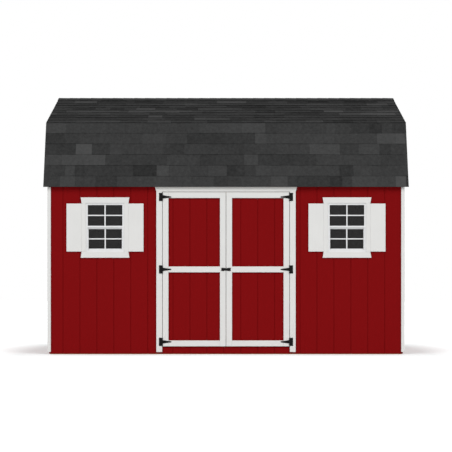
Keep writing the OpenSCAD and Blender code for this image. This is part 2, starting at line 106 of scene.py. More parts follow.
# %% [markdown]
# ## Reading the solid parts
# A node such as the corner boards holds several boards in one mesh. Once its corners are merged,
# Blender's Separate by Loose Parts could make objects of them, but we only need to know which corners
# belong together. So every triangle hands the lowest number among its corners to all of them, over and
# over, until nothing changes. Corners with the same number belong to the same board.


# %% Take a node apart
def solids(node):
    """Splits a node's mesh into its loose solids and returns the corner points of each."""
    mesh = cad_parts[node].data
    points = np.zeros(len(mesh.vertices) * 3)
    mesh.vertices.foreach_get("co", points)
    corners, corner_of = np.unique(points.reshape(-1, 3).round(5), axis=0, return_inverse=True)
    mesh.calc_loop_triangles()
    triangles = np.zeros(len(mesh.loop_triangles) * 3, dtype=np.int32)
    mesh.loop_triangles.foreach_get("vertices", triangles)
    triangles = corner_of.ravel()[triangles].reshape(-1, 3)
    label = np.arange(len(corners))
    while True:
        fresh = label.copy()
        np.minimum.at(fresh, triangles.ravel(), np.repeat(label[triangles].min(axis=1), 3))
        if (fresh == label).all():
            return [corners[label == value] for value in np.unique(label)]
        label = fresh


print("corner boards found:", len(solids("long_side_corner_boards")) + len(solids("gable_corner_boards")))

# %% [markdown]
# ## From arrays to objects
# Blender can take a whole array of points and a whole array of corner numbers at once, which is far
# quicker than adding points one by one. Many pieces are made of several lumps, such as the boards of a
# wall. The first helper joins lumps into one set of arrays, by moving each lump's point numbers past
# those of the lumps before it.


# %% Join lumps
def joined(lumps):
    """Joins lumps, each a dictionary of points and face arrays, into one lump."""
    start = np.cumsum([0] + [len(lump["points"]) for lump in lumps])
    whole = {"faces": [block + first for lump, first in zip(lumps, start) for block in lump["faces"]]}
    for key in lumps[0]:
        if key != "faces":
            whole[key] = np.concatenate([lump[key] for lump in lumps])
    return whole


triangle = {"points": np.zeros((3, 3)), "faces": [np.array([[0, 1, 2]])]}
print("two triangles joined:", [block.tolist() for block in joined([triangle, triangle])["faces"]])

# %% [markdown]
# The second helper makes the object. It stays at the origin, unturned, with its place in its mesh. A lump
# may also hold a material number or a tone for each face, and a flat map that runs along the board. Each
# piece gets its materials and is tied to the body it moves with, and the solid parts it stands for are
# hidden.


# %% Make a piece
def make_piece(name, lump, materials, body, nodes=(), round_form=False):
    """Makes one object from a lump, gives it its materials, ties it to its body and hides the nodes it
    stands for.
    """
    corners = np.concatenate([block.ravel() for block in lump["faces"]]).astype(np.int32)
    counts = np.concatenate([np.full(len(block), block.shape[1]) for block in lump["faces"]])
    mesh = bpy.data.meshes.new(name)
    mesh.vertices.add(len(lump["points"]))
    mesh.vertices.foreach_set("co", lump["points"].astype(np.float32).ravel())
    mesh.loops.add(len(corners))
    mesh.loops.foreach_set("vertex_index", corners)
    mesh.polygons.add(len(counts))
    mesh.polygons.foreach_set("loop_start", (np.cumsum(counts) - counts).astype(np.int32))
    mesh.update(calc_edges=True)
    if not round_form:
        mesh.shade_flat()
    for material in materials:
        mesh.materials.append(material)
    if "finish" in lump:
        mesh.polygons.foreach_set("material_index", lump["finish"].astype(np.int32))
    if "tone" in lump:
        tone = mesh.attributes.new("tone", "FLOAT", "FACE")
        tone.data.foreach_set("value", lump["tone"].astype(np.float32))
    if "along" in lump:
        grain = mesh.uv_layers.new(name="grain")
        grain.data.foreach_set("uv", lump["along"][corners].astype(np.float32).ravel())
    piece = bpy.data.objects.new(name, mesh)
    bpy.context.scene.collection.objects.link(piece)
    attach(piece, body)
    if nodes:
        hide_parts(*nodes)
    print(name, "has", len(counts), "faces")


# %% [markdown]
# ## Shader sums in plain Python
# A material is a graph of nodes, and sums in it take many Math nodes. You could drag them in the Shader
# Editor, but a long sum is hard to read there. The class below wraps a node's output, so that plus, minus
# and times add those nodes for us, also where a plain number comes first.


# %% A wire between shader nodes
class Wire:
    """An output of a shader node. Python's operators on it add Math nodes."""

    def __init__(self, graph, socket):
        self.graph = graph
        self.socket = socket

    def math(self, operation, *others):
        """Adds a Math node that takes this output first."""
        return self.graph.sum(operation, self, *others)

    def __add__(self, other):
        return self.math("ADD", other)

    def __mul__(self, other):
        return self.math("MULTIPLY", other)

    def __sub__(self, other):
        return self.math("SUBTRACT", other)

    def __rsub__(self, other):
        return self.graph.sum("SUBTRACT", other, self)

    def __abs__(self):
        return self.math("ABSOLUTE")

    __radd__ = __add__
    __rmul__ = __mul__


print("methods of a wire:", [name for name in vars(Wire) if callable(getattr(Wire, name))])

# %% [markdown]
# Any other node comes from one method, which takes the node's type, its settings and what goes into its
# sockets. The shorter methods below it only save writing for the nodes that most finishes use. The same
# class serves the materials and, near the end, the sky.


# %% A graph of shader nodes
class Graph:
    """The node graph of a material or of the world."""

    def __init__(self, owner):
        owner.use_nodes = True
        self.owner = owner
        self.tree = owner.node_tree
        self.tree.nodes.clear()

    def add(self, kind, settings=None, values=None, output=0):
        """Adds a node, sets its settings first and its sockets next, and returns one output."""
        node = self.tree.nodes.new(kind)
        for key, value in (settings or {}).items():
            setattr(node, key, value)
        for key, value in (values or {}).items():
            if isinstance(value, Wire):
                self.tree.links.new(value.socket, node.inputs[key])
            else:
                node.inputs[key].default_value = value
        return Wire(self, node.outputs[output]) if len(node.outputs) else node

    def sum(self, operation, *values):
        """Adds one Math node."""
        return self.add("ShaderNodeMath", {"operation": operation}, dict(enumerate(values)))

    def place(self):
        """The point's place on the object, in metres."""
        return self.add("ShaderNodeTexCoord", output="Object")

    def split(self, vector):
        """The three numbers of a vector."""
        first = self.add("ShaderNodeSeparateXYZ", values={0: vector})
        return [Wire(self, socket) for socket in first.socket.node.outputs]

    def vector(self, x, y, z):
        """A vector of three numbers."""
        return self.add("ShaderNodeCombineXYZ", values={0: x, 1: y, 2: z})

    def stretch(self, vector, scale):
        """A vector times a scale for each axis."""
        return self.add("ShaderNodeVectorMath", {"operation": "MULTIPLY"}, {0: vector, 1: scale})

    def noise(self, vector, scale=1.0, detail=2.0, roughness=0.5):
        """Soft random cloud between zero and one."""
        values = {"Vector": vector, "Scale": scale, "Detail": detail, "Roughness": roughness}
        return self.add("ShaderNodeTexNoise", values=values)

    def ramp(self, value, low, high):
        """Takes a value from low to high onto nought to one, and holds it there."""
        return self.add("ShaderNodeMapRange", {"clamp": True}, {0: value, 1: low, 2: high})

    def mix(self, factor, first, second):
        """Blends two colours."""
        return self.add("ShaderNodeMix", {"data_type": "RGBA"}, {0: factor, 6: first, 7: second}, output=2)

    def bump(self, height, distance, strength):
        """Tilts the surface's normal by the slope of a height in metres."""
        values = {"Height": height, "Distance": distance, "Strength": strength}
        return self.add("ShaderNodeBump", values=values)

    def finish(self, **values):
        """Adds the surface shader and the output. Names with underscores stand for the shader's sockets."""
        sockets = {key.replace("_", " "): value for key, value in values.items()}
        shader = self.add("ShaderNodeBsdfPrincipled", values=sockets)
        self.add("ShaderNodeOutputMaterial", values={"Surface": shader})
        return self.owner


def new_finish(name):
    """Starts the graph of a new material."""
    return Graph(bpy.data.materials.new(name))


print("methods of a graph:", [name for name in vars(Graph) if not name.startswith("_")])

# %% [markdown]
# ## Colours
# Paint colours are easiest to judge on a screen, where they run from 0 to 255. A shader takes linear
# colours instead, in which double the number means double the light. This function turns the one into the
# other.


# %% Screen colours
def shade(red, green, blue):
    """Turns a screen colour into a linear one: nearly the power of 2.4, and a line close to black."""
    screen = np.array([red, green, blue]) / 255
    linear = np.where(screen > 0.04045, ((screen + 0.055) / 1.055) ** 2.4, screen / 12.92)
    return (*linear.tolist(), 1.0)


print("a middle grey of 128 gives a shader", round(shade(128, 128, 128)[0], 3))

# %% [markdown]
# ## Red paint
# The siding is painted a deep barn red, nearly matt. A picture of painted board would repeat over a wall
# and blur close up, and a noise does neither. Paint on pressed board follows a faint upright grain, so
# the noise is squeezed hard sideways and hardly at all upward. It shifts the colour a little and lifts
# the surface by a fraction of a millimetre. A second, wide noise keeps the wall from looking flat.

# %% Red paint
RED_SHADES = shade(120, 11, 13), shade(127, 12, 15)


def red_paint():
    """Nearly matt red: fine upright grain and clouds about half a metre wide, in equal shares."""
    graph = new_finish("barn red paint")
    place = graph.place()
    grain = graph.noise(graph.stretch(place, (120.0, 120.0, 3.0)), detail=4.0)
    cloud = graph.noise(graph.stretch(place, (2.0, 2.0, 0.9)))
    colour = graph.mix(grain * 0.5 + cloud * 0.5, *RED_SHADES)
    relief = graph.bump(grain, distance=0.0006, strength=0.6)
    return graph.finish(Base_Color=colour, Roughness=0.85, Specular_IOR_Level=0.04, Normal=relief)


RED = red_paint()
print("paint:", RED.name)

# %% [markdown]
# ## White paint
# Trim boards run in all directions, so a grain that always stands upright would be wrong on most of them.
# Their grain follows a UV map instead, which is laid along each board when it is made. White shows its
# relief more than red does, so the relief is weaker here.

# %% White paint
WHITE_SHADES = shade(213, 212, 210), shade(225, 224, 222)


def white_paint():
    """Satin white with a grain that runs along each board."""
    graph = new_finish("white trim paint")
    board = graph.add("ShaderNodeUVMap", {"uv_map": "grain"})
    grain = graph.noise(graph.stretch(board, (2.5, 160.0, 1.0)), detail=4.0)
    cloud = graph.noise(board, scale=3.0)
    colour = graph.mix(grain * 0.4 + cloud * 0.6, *WHITE_SHADES)
    relief = graph.bump(grain, distance=0.0004, strength=0.5)
    return graph.finish(Base_Color=colour, Roughness=0.5, Specular_IOR_Level=0.25, Normal=relief)


WHITE = white_paint()
print("paint:", WHITE.name)

# %% [markdown]
# ## Bare softwood
# Inside, nothing is painted. Studs, plates, joists and rafters are pale softwood with rings drawn out
# along the stick and a knot here and there. Blender's Wave texture could draw rings, but a sine over the
# two widths lets us bend them with a slow noise first. Knots are the middles of long cells.

# %% Softwood
SOFTWOOD_SHADES = (0.40, 0.245, 0.115, 1.0), (0.62, 0.44, 0.25, 1.0)
KNOT_SHADE = (0.17, 0.085, 0.035, 1.0)
KNOT_EDGE = (0.05, 0.13)


def softwood(name, lengthwise):
    """Pale sawn softwood. The function given turns x, y and z into one length and two widths."""
    graph = new_finish(name)
    length, width, depth = lengthwise(*graph.split(graph.place()))

    def drawn_out(long, wide):
        return graph.vector(length * long, width * wide, depth * wide)

    fibre = graph.noise(drawn_out(3.0, 150.0), detail=3.0)
    stick = graph.noise(drawn_out(0.15, 7.0), detail=1.0)
    warp = graph.noise(drawn_out(1.2, 4.0))
    ring = (width * 90.0 + depth * 60.0 + warp * 9.0).math("SINE") * 0.5 + 0.5
    knot = graph.add("ShaderNodeTexVoronoi", values={"Vector": drawn_out(2.2, 9.0), "Scale": 1.0})
    clear = graph.mix(ring * 0.35 + fibre * 0.35 + stick * 0.3, *SOFTWOOD_SHADES)
    colour = graph.mix(graph.ramp(knot, *KNOT_EDGE), KNOT_SHADE, clear)
    relief = graph.bump(fibre, distance=0.0006, strength=0.6)
    return graph.finish(Base_Color=colour, Roughness=0.75, Specular_IOR_Level=0.2, Normal=relief)


STUDS = softwood("upright softwood", lambda x, y, z: (z, x, y))
JOISTS = softwood("softwood across the barn", lambda x, y, z: (y, x, z))
HEADERS = softwood("softwood along the barn", lambda x, y, z: (x, y, z))
print("woods:", ", ".join(wood.name for wood in (STUDS, JOISTS, HEADERS)))

# %% [markdown]
# ## Sticks that lean or change direction
# Plates lie along the long walls and also between them, and rafters lean. A UV map could follow each
# stick, but the framing keeps its own meshes, so the way a stick runs is worked out from the place
# itself. For a rafter, the corners of one stick tell how far it leans.

# %% Plates and rafters
LONG_PLATES_FROM = 1.42


def plate_way(x, y, z):
    """Plates near the long walls run in x, those between them run in y."""
    outer = abs(y).math("GREATER_THAN", LONG_PLATES_FROM)
    inner = 1.0 - outer
    return x * outer + y * inner, y * outer + x * inner, z


def rafter_way(node):
    """The way a leaning rafter runs: up the slope, square to it, and across the barn.

    The slope is the direction in which one rafter's corners spread the furthest.
    """
    rafter = solids(node)[0]
    corners = np.stack([np.abs(rafter[:, 1]), rafter[:, 2]], axis=1)
    run, rise = np.abs(np.linalg.svd(corners - corners.mean(axis=0))[2][0])
    print(node, "lean", round(math.degrees(math.atan2(rise, run)), 1), "degrees")
    return lambda x, y, z: (z * rise - abs(y) * run, abs(y) * rise + z * run, x)


PLATES = softwood("softwood plates", plate_way)
LOWER_RAFTERS = softwood("lower rafter softwood", rafter_way("lower_rafters"))
UPPER_RAFTERS = softwood("upper rafter softwood", rafter_way("upper_rafters"))

# %% [markdown]
# ## Strand board
# The floor, the gussets, the roof decks and the back of the siding are boards pressed from wood flakes.
# Modelling flakes would take millions of faces, and a Voronoi texture already gives cells with a random
# colour each. Cells that are squeezed one way look like flakes, so two layers are squeezed crosswise, and
# a noise picks one of them at each place. The roof decks reach past the gables, where they are painted
# white.

# %% Strand board
FLAKE_SHADES = (0.38, 0.235, 0.11, 1.0), (0.62, 0.44, 0.245, 1.0)
FLAKE_LAYERS = (14.0, 66.0, 66.0), (62.0, 15.0, 15.0)
DECK_PAINT = shade(218, 218, 216)


def strand_board(name, painted_past=None):
    """Two layers of long cells that cross, each cell with its own tan.

    Past a given distance from the barn's middle, along its length, the board is painted white.
    """
    graph = new_finish(name)
    place = graph.place()
    swirl = graph.add("ShaderNodeTexNoise", values={"Vector": place, "Scale": 9.0}, output="Color")
    bend = graph.add("ShaderNodeVectorMath", {"operation": "SCALE"}, {0: swirl, "Scale": 0.03})
    bent = graph.add("ShaderNodeVectorMath", {"operation": "ADD"}, {0: place, 1: bend})
    flakes = []
    for scale in FLAKE_LAYERS:
        cells = {"Vector": graph.stretch(bent, scale), "Scale": 1.0}
        flakes.append(graph.split(graph.add("ShaderNodeTexVoronoi", values=cells, output="Color"))[0])
    pick = graph.ramp(graph.noise(place, scale=17.0, detail=1.0), 0.46, 0.54)
    flake = flakes[0] * pick + flakes[1] * (1.0 - pick)
    colour = graph.mix(flake, *FLAKE_SHADES)
    if painted_past:
        overhang = abs(graph.split(place)[0]).math("GREATER_THAN", painted_past)
        colour = graph.mix(overhang, colour, DECK_PAINT)
    relief = graph.bump(flake, distance=0.001, strength=0.5)
    return graph.finish(Base_Color=colour, Roughness=0.7, Specular_IOR_Level=0.2, Normal=relief)


STRANDS = strand_board("strand board")
ROOF_DECKS = strand_board("strand board with painted ends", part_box("right_gable_siding")[0].x)
print("boards:", STRANDS.name, "and", ROOF_DECKS.name)

# %% [markdown]
# ## Shingle granules
# A shingle is felt covered with stone granules. Each batch comes out of the factory in its own shade,
# which an image could hold only for one fixed roof. Here the mesh carries the shade as a face attribute
# named tone, and the material adds soft patches and fine grit to it.

# %% Shingle granules
GRANULE_SHADES = shade(14, 14, 14), shade(92, 92, 92)


def shingle_granules():
    """Charcoal granules: mostly the tab's own tone, then patches, then grit, less a fixed amount."""
    graph = new_finish("charcoal shingle granules")
    place = graph.place()
    own_tone = {"attribute_type": "GEOMETRY", "attribute_name": "tone"}
    tone = graph.add("ShaderNodeAttribute", own_tone, output="Fac")
    grit = graph.noise(place, scale=420.0)
    patch = graph.noise(place, scale=26.0, detail=8.0, roughness=0.8)
    colour = graph.mix(tone * 0.8 + patch * 0.6 + grit * 0.1 - 0.24, *GRANULE_SHADES)
    relief = graph.bump(grit, distance=0.0015, strength=0.7)
    return graph.finish(Base_Color=colour, Roughness=0.92, Specular_IOR_Level=0.04, Normal=relief)


SHINGLES = shingle_granules()
print("roof:", SHINGLES.name)

# %% [markdown]
# ## Iron, vinyl and glass
# The hinges and the latch are iron under a black powder coat, with a skin like an orange's that a fine noise
# gives. The window frames are smooth vinyl. The panes are thin glass in front of a dark room. A Glass shader
# is made for thick glass that bends light, so a thin pane is easier as a dark, smooth surface that lets a
# part of the light through. Its dark colour is painted shade, standing for the dim room behind the glass.

# %% Iron, vinyl and glass
IRON_SHADES = shade(8, 8, 8), shade(14, 14, 14)
VINYL_SHADES = shade(222, 222, 222), shade(230, 230, 231)
# The pane's dark colour is painted shade of the dim room behind it.
PANE_PAINTED_ROOM_SHADE = (0.0225, 0.022, 0.022, 1.0)


def black_iron():
    """Black powder coat with a faint orange-peel skin."""
    graph = new_finish("black powder coat")
    skin = graph.noise(graph.place(), scale=900.0)
    relief = graph.bump(skin, distance=0.0002, strength=0.5)
    colour = graph.mix(skin, *IRON_SHADES)
    return graph.finish(Base_Color=colour, Roughness=0.5, Specular_IOR_Level=0.12, Normal=relief)


def window_vinyl():
    """Smooth white vinyl, a little cooler than the paint."""
    graph = new_finish("white window vinyl")
    colour = graph.mix(graph.noise(graph.place(), scale=6.0), *VINYL_SHADES)
    return graph.finish(Base_Color=colour, Roughness=0.35, Specular_IOR_Level=0.35)


def window_pane():
    """Thin glass that mirrors a little and lets some of the dark room show; its dark colour is painted shade
    of that room.
    """
    graph = new_finish("window pane")
    relief = graph.bump(graph.noise(graph.place(), scale=5.0, detail=1.0), distance=0.0005, strength=0.2)
    return graph.finish(Base_Color=PANE_PAINTED_ROOM_SHADE, Roughness=0.04, Specular_IOR_Level=0.18, Alpha=0.72,
                        Normal=relief)


IRON = black_iron()
VINYL = window_vinyl()
PANE = window_pane()
print("fittings:", ", ".join(material.name for material in (IRON, VINYL, PANE)))

# %% [markdown]
# ## Grooved siding
# A sheet of siding is a thin slab whose face dips into a groove every eight inches. You could cut each
# groove with a Boolean modifier, but a grid is cleaner: lines of points run up the sheet at its edges and
# at four places in each groove, and the lines inside a groove are set back. A window is a cell of the
# grid that is left out. The first helper closes such a grid into a slab.


# %% A slab of cells
def cell_slab(face, back, filled):
    """Closes a slab between two grids of points, with a quad on both sides of every filled cell.

    Where a filled cell meets an empty one or the border, a quad from face to back closes the edge.
    The quads on the back take the second material, all others the first.
    """
    rows, columns = filled.shape
    number = np.arange((rows + 1) * (columns + 1)).reshape(rows + 1, columns + 1)
    low_left, low_right = number[:-1, :-1], number[:-1, 1:]
    top_left, top_right = number[1:, :-1], number[1:, 1:]
    behind = number.size
    padded = np.pad(filled, 1)
    below = filled & ~padded[:-2, 1:-1]
    above = filled & ~padded[2:, 1:-1]
    before = filled & ~padded[1:-1, :-2]
    after = filled & ~padded[1:-1, 2:]
    quads = [
        np.stack([low_left, low_right, top_right, top_left], axis=-1)[filled],
        np.stack([low_left, low_left + behind, low_right + behind, low_right], axis=-1)[below],
        np.stack([top_left, top_right, top_right + behind, top_left + behind], axis=-1)[above],
        np.stack([low_left, top_left, top_left + behind, low_left + behind], axis=-1)[before],
        np.stack([low_right, low_right + behind, top_right + behind, top_right], axis=-1)[after],
        np.stack([top_left, top_right, low_right, low_left], axis=-1)[filled] + behind,
    ]
    return {
        "points": np.concatenate([face.reshape(-1, 3), back.reshape(-1, 3)]),
        "faces": quads,
        "finish": np.repeat([0, 0, 0, 0, 0, 1], [len(block) for block in quads]),
    }


one_cell = cell_slab(np.zeros((2, 2, 3)), np.zeros((2, 2, 3)), np.ones((1, 1), dtype=bool))
print("faces round one cell:", sum(len(block) for block in one_cell["faces"]))

# %% [markdown]
# The grooves lie eight inches apart on every sheet, but the sheets were hung one by one, so each wall
# starts its row of grooves at its own place. A groove's walls slope, because a pressed groove has no
# sharp corners.

# %% Where the grooves run
GROOVE_PITCH = 0.2032
GROOVE_WIDTH = 0.010
GROOVE_DEPTH = 0.005
GROOVE_LINES = np.array([-0.5, -0.25, 0.25, 0.5])
FIRST_GROOVE = {"left wall": -1.956, "right wall": 0.888, "doors": -0.636, "back": -1.956, "gable": 0.0}


def groove_lines(low, high, first, edges):
    """Places the lines across a sheet and says how deep each is set back.

    Depth grows from nought at the shoulders, half a width off the middle, to the full depth halfway in.
    """
    steps = np.arange(math.ceil((low - first) / GROOVE_PITCH), math.floor((high - first) / GROOVE_PITCH) + 1)
    middles = first + GROOVE_PITCH * steps
    middles = middles[(middles > low + GROOVE_WIDTH) & (middles < high - GROOVE_WIDTH)]
    shoulders = (middles[:, None] + GROOVE_WIDTH * GROOVE_LINES).ravel()
    lines = np.unique(np.concatenate([[low, high], edges, shoulders]))
    away = np.abs(lines[:, None] - middles).min(axis=1)
    return lines, GROOVE_DEPTH * np.clip((GROOVE_WIDTH / 2 - away) / (GROOVE_WIDTH / 4), 0.0, 1.0)


line_depths = groove_lines(cad_low.x, cad_high.x, FIRST_GROOVE["back"], [])[1]
print("grooves along the barn:", (line_depths > GROOVE_DEPTH / 2).sum() // 2)

# %% [markdown]
# A sheet takes its outline from the solid part. On a gable, every line ends where the roof's outline lies
# above it. On a wall with a window, the window's edges are lines of the grid too, and the cells between
# them stay empty.


# %% One sheet of siding
def siding_sheet(points, side, first, gable=False):
    """Makes one grooved sheet from a solid's corners. Four heights mean a window between the inner two.

    Each line stands at its place along the wall, and its distance out is the wall's face less its depth.
    """
    along, height, out = to_wall(points, side)
    edges, levels = np.unique(along), np.unique(height)
    lines, depth = groove_lines(edges[0], edges[-1], first, edges)
    filled = np.ones((1, len(lines) - 1), dtype=bool)
    grid = np.stack([np.full(len(lines), levels[0]), np.full(len(lines), levels[-1])])
    if gable:
        tops = np.array([height[along == edge].max() for edge in edges])
        grid[1] = np.interp(lines, edges, tops)
    elif len(levels) > 2:
        middle = (lines[:-1] + lines[1:]) / 2
        grid = np.repeat(levels[:, None], len(lines), axis=1)
        filled = np.ones((len(levels) - 1, len(middle)), dtype=bool)
        filled[1] = (middle < edges[1]) | (middle > edges[2])
    face = from_wall(lines, grid, out.max() - depth, side)
    back = from_wall(lines, grid, np.full(grid.shape, out.min()), side)
    return cell_slab(face, back, filled)


left_sheet = siding_sheet(solids("front_siding_left")[0], "front", FIRST_GROOVE["left wall"])
print("points in the left wall's sheet:", len(left_sheet["points"]))

# %% [markdown]
# Now all the siding can be made. The front has a sheet on each side of the doors and strips under and
# over them. The panels of the two doors are the same siding, and they move with their doors. Outside they
# are red, and their back is bare board.

# %% Siding pieces
SHEETS = [
    ("front_siding_left", "front", "left wall", "barn"),
    ("front_siding_right", "front", "right wall", "barn"),
    ("door_siding_strips", "front", "doors", "barn"),
    ("back_siding", "back", "back", "barn"),
    ("left_gable_siding", "left", "gable", "barn"),
    ("right_gable_siding", "right", "gable", "barn"),
    ("left_leaf_panel", "front", "doors", "left_leaf"),
    ("right_leaf_panel", "front", "doors", "right_leaf"),
]
for node, side, row, body in SHEETS:
    sheets = [siding_sheet(points, side, FIRST_GROOVE[row], row == "gable") for points in solids(node)]
    make_piece("grooved_" + node, joined(sheets), [RED, STRANDS], body, [node])

# %% [markdown]
# ## Trim boards with eased edges
# No sawn board has a knife-sharp edge: the planer takes it off. Blender's Bevel modifier could do that to
# each board, but it would round the back too, which lies flat on the wall, unless every edge gets a
# weight. Here the outline is read from the solid, and rings of the outline are stacked from the back to
# the front. The last rings step inward along a quarter circle. Each corner moves along its mitre, so
# slanted ends stay parallel. Every board also gets its own stretch of grain, picked at random, as no two
# boards are sawn from the same place.

# %% A board with eased edges
EASED_EDGE = 0.003
GRAIN_STRETCH = 40
SHAKE = np.random.default_rng(14)


def eased_board(points, side, easing=EASED_EDGE):
    """Makes one board from a solid's corners, with the edges of its face rounded to a quarter circle.

    A corner's mitre is the sum of its two edge normals over one plus their product, times the inset.
    The inset is the easing times one less the cosine of the bend, and the ring lies behind the face by
    the easing times one less the sine of the bend.
    """
    along, height, out = to_wall(points, side)
    on_face = out > out.max() - 1e-5
    outline = np.stack([along[on_face], height[on_face]], axis=1)
    middle = outline.mean(axis=0)
    outline = outline[np.argsort(np.arctan2(*(outline - middle).T[::-1]))]
    edge = np.roll(outline, -1, axis=0) - outline
    length = np.hypot(edge[:, 0], edge[:, 1])
    normal = np.stack([edge[:, 1], -edge[:, 0]], axis=1) / length[:, None]
    before = np.roll(normal, 1, axis=0)
    mitre = (normal + before) / (1 + (normal * before).sum(axis=1))[:, None]
    bend = np.linspace(0, math.pi / 2, 4)
    inset = np.concatenate([[0], easing * (1 - np.cos(bend))])
    level = np.concatenate([[out.min()], out.max() - easing * (1 - np.sin(bend))])
    rings = (outline - inset[:, None, None] * mitre).reshape(-1, 2)
    count = len(outline)
    level = np.repeat(level, count)
    ring, step = np.meshgrid(np.arange(len(inset) - 1), np.arange(count), indexing="ij")
    low, turn = ring * count, (step + 1) % count
    sides = np.stack([low + step, low + turn, low + count + turn, low + count + step], axis=-1)
    first = np.arange(count)
    caps = np.stack([first[::-1], first + (len(inset) - 1) * count])
    run = edge[length.argmax()] / length.max()
    cross = np.array([-run[1], run[0]])
    grain = np.stack([(rings - middle) @ run, (rings - middle) @ cross + level], axis=1)
    return {
        "points": from_wall(rings[:, 0], rings[:, 1], level, side),
        "faces": [sides.reshape(-1, 4), caps],
        "along": grain + SHAKE.uniform(0, GRAIN_STRETCH, 2),
    }


print("edges are eased by", EASED_EDGE * 1000, "mm")

# %% [markdown]
# Corner boards cover the ends of the siding, rake boards follow the roof's edge on the gables, and
# casings frame the doorway and the windows. The shutters are plain boards too. The stiles and rails of
# the doors are the same trim, and they move with their doors. A node that has boards on two walls names
# both, and each board finds its own.

# %% Trim pieces
TRIM = [
    ("long_side_corner_boards", ("front", "back"), "barn"),
    ("gable_corner_boards", ("left", "right"), "barn"),
    ("rake_boards", ("left", "right"), "barn"),
    ("door_side_casings", ("front",), "barn"),
    ("door_head_board", ("front",), "barn"),
    ("window_head_and_sill_boards", ("front",), "barn"),
    ("window_side_casings", ("front",), "barn"),
    ("shutters", ("front",), "barn"),
    ("left_leaf_stiles", ("front",), "left_leaf"),
    ("left_leaf_rails", ("front",), "left_leaf"),
    ("right_leaf_stiles", ("front",), "right_leaf"),
    ("right_leaf_rails", ("front",), "right_leaf"),
]
for node, sides, body in TRIM:
    boards = [eased_board(points, nearest_wall(points, sides)) for points in solids(node)]
    make_piece("eased_" + node, joined(boards), [WHITE], body, [node])

# %% [markdown]
# ## Shingles
# A roofer lays shingles from the eave upward, and each course covers the top of the one below. So every
# tab is a thin wedge: its lower edge lies highest, because it rests on the course below. An Array
# modifier could repeat one tab, but then all would be alike. Here all the tabs of a slope are worked out
# as one array, each with its own numbers. The first helper makes the wedges.

# %% Wedges
WEDGE_SIDES = {
    "top": [0, 4, 6, 2],
    "underside": [1, 3, 7, 5],
    "lower end": [0, 1, 5, 4],
    "upper end": [2, 6, 7, 3],
    "left end": [0, 2, 3, 1],
    "right end": [4, 5, 7, 6],
}


def wedges(along, slope, depth, frame_of):
    """Makes a wedge for each row: ends along the roof, ends up the slope, four depths under the surface.

    The depths are those of the top at the lower and upper end, then of the underside at both ends.
    """
    corner = np.indices((2, 2, 2)).reshape(3, -1)
    corners = frame_of(along[:, corner[0]], slope[:, corner[1]], depth[:, corner[1] + 2 * corner[2]])
    numbers = np.arange(len(along))[:, None, None] * 8 + np.array(list(WEDGE_SIDES.values()))
    return corners.reshape(-1, 3), numbers.reshape(-1, 4)


print("sides of a wedge:", ", ".join(WEDGE_SIDES))

# %% [markdown]
# A tab is told by how far it lies along the roof, up the slope and under the surface. The solid part's
# lowest and highest lines give the slope's direction, and from that a function that turns such numbers
# into a place.


# %% The directions of a slope
def slope_frame(points):
    """Reads a slope from the solid: its length, half its width, its side of the barn and a placing function.

    A place is the lowest line, plus the way up along the slope, less the depth along the outward normal.
    """
    sign = np.sign(points[:, 1].mean())
    half = points[points[:, 1] * sign >= -1e-6]
    low = half[np.abs(half[:, 1]).argmax()]
    high = half[half[:, 2].argmax()]
    run = (high - low)[1:]
    length = np.hypot(*run)
    up = run / length
    out = np.array([up[1], -up[0]]) * sign

    def frame_of(along, climb, depth):
        across = low[1] + climb * up[0] - depth * out[0]
        height = low[2] + climb * up[1] - depth * out[1]
        return np.stack([along, across, height], axis=-1)

    return length, half[:, 0].max(), sign, frame_of


for node in ("lower_shingles", "front_upper_shingles", "back_upper_shingles"):
    print(node, "measure", round(slope_frame(solids(node)[0])[0], 3), "m up the slope")

# %% [markdown]
# These shingles are of the laminated kind, whose tabs have uneven widths. Tabs follow one another along a
# course, so a running sum of random widths gives their ends, and every course starts at a place of its
# own. What would be a sliver at the gable is left out.

# %% Tabs along a course
NARROW_TAB = 0.10
WIDE_TAB = 0.30
TAB_GAP = 0.0006
SLIVER = 0.004


def tab_ends(courses, reach):
    """Gives each tab's course and its two ends. A tab starts where the sum of the widths before it ends."""
    count = math.ceil((2 * reach + WIDE_TAB) / NARROW_TAB)
    widths = SHAKE.uniform(NARROW_TAB, WIDE_TAB, (courses, count))
    after = np.cumsum(widths, axis=1) - reach - SHAKE.uniform(0.0, WIDE_TAB, (courses, 1))
    ends = np.stack([after - widths + TAB_GAP / 2, after - TAB_GAP / 2], axis=-1)
    ends = ends.reshape(-1, 2).clip(-reach, reach)
    course = np.repeat(np.arange(courses), count)
    kept = ends[:, 1] - ends[:, 0] > SLIVER
    return course[kept], ends[kept]


print("tabs are", NARROW_TAB, "to", WIDE_TAB, "m wide")

# %% [markdown]
# Neighbouring tabs often come from one batch and share a tone, while some batches are clearly lighter.
# Each tab strays from its batch a little. A new batch starts at random, and always with a new course.

# %% Tones of the tabs
NEW_BATCH = 0.6
BATCH_SPREAD = 0.06
LIGHTER_BATCHES = 0.18
LIGHTER_BY = (0.12, 0.30)
TAB_SPREAD = 0.04


def tab_tones(course, base_tone):
    """Gives each tab's tone: the slope's own, plus its batch's share, plus a little of its own."""
    total = len(course)
    starts = (SHAKE.random(total) < NEW_BATCH) | (np.diff(course, prepend=-1) > 0)
    batch = np.cumsum(starts) - 1
    tone = base_tone + SHAKE.normal(0.0, BATCH_SPREAD, batch[-1] + 1)
    lighter = SHAKE.random(len(tone)) < LIGHTER_BATCHES
    tone += np.where(lighter, SHAKE.uniform(*LIGHTER_BY, len(tone)), 0.0)
    return tone[batch] + SHAKE.normal(0.0, TAB_SPREAD, total)


print("share of lighter batches:", LIGHTER_BATCHES)
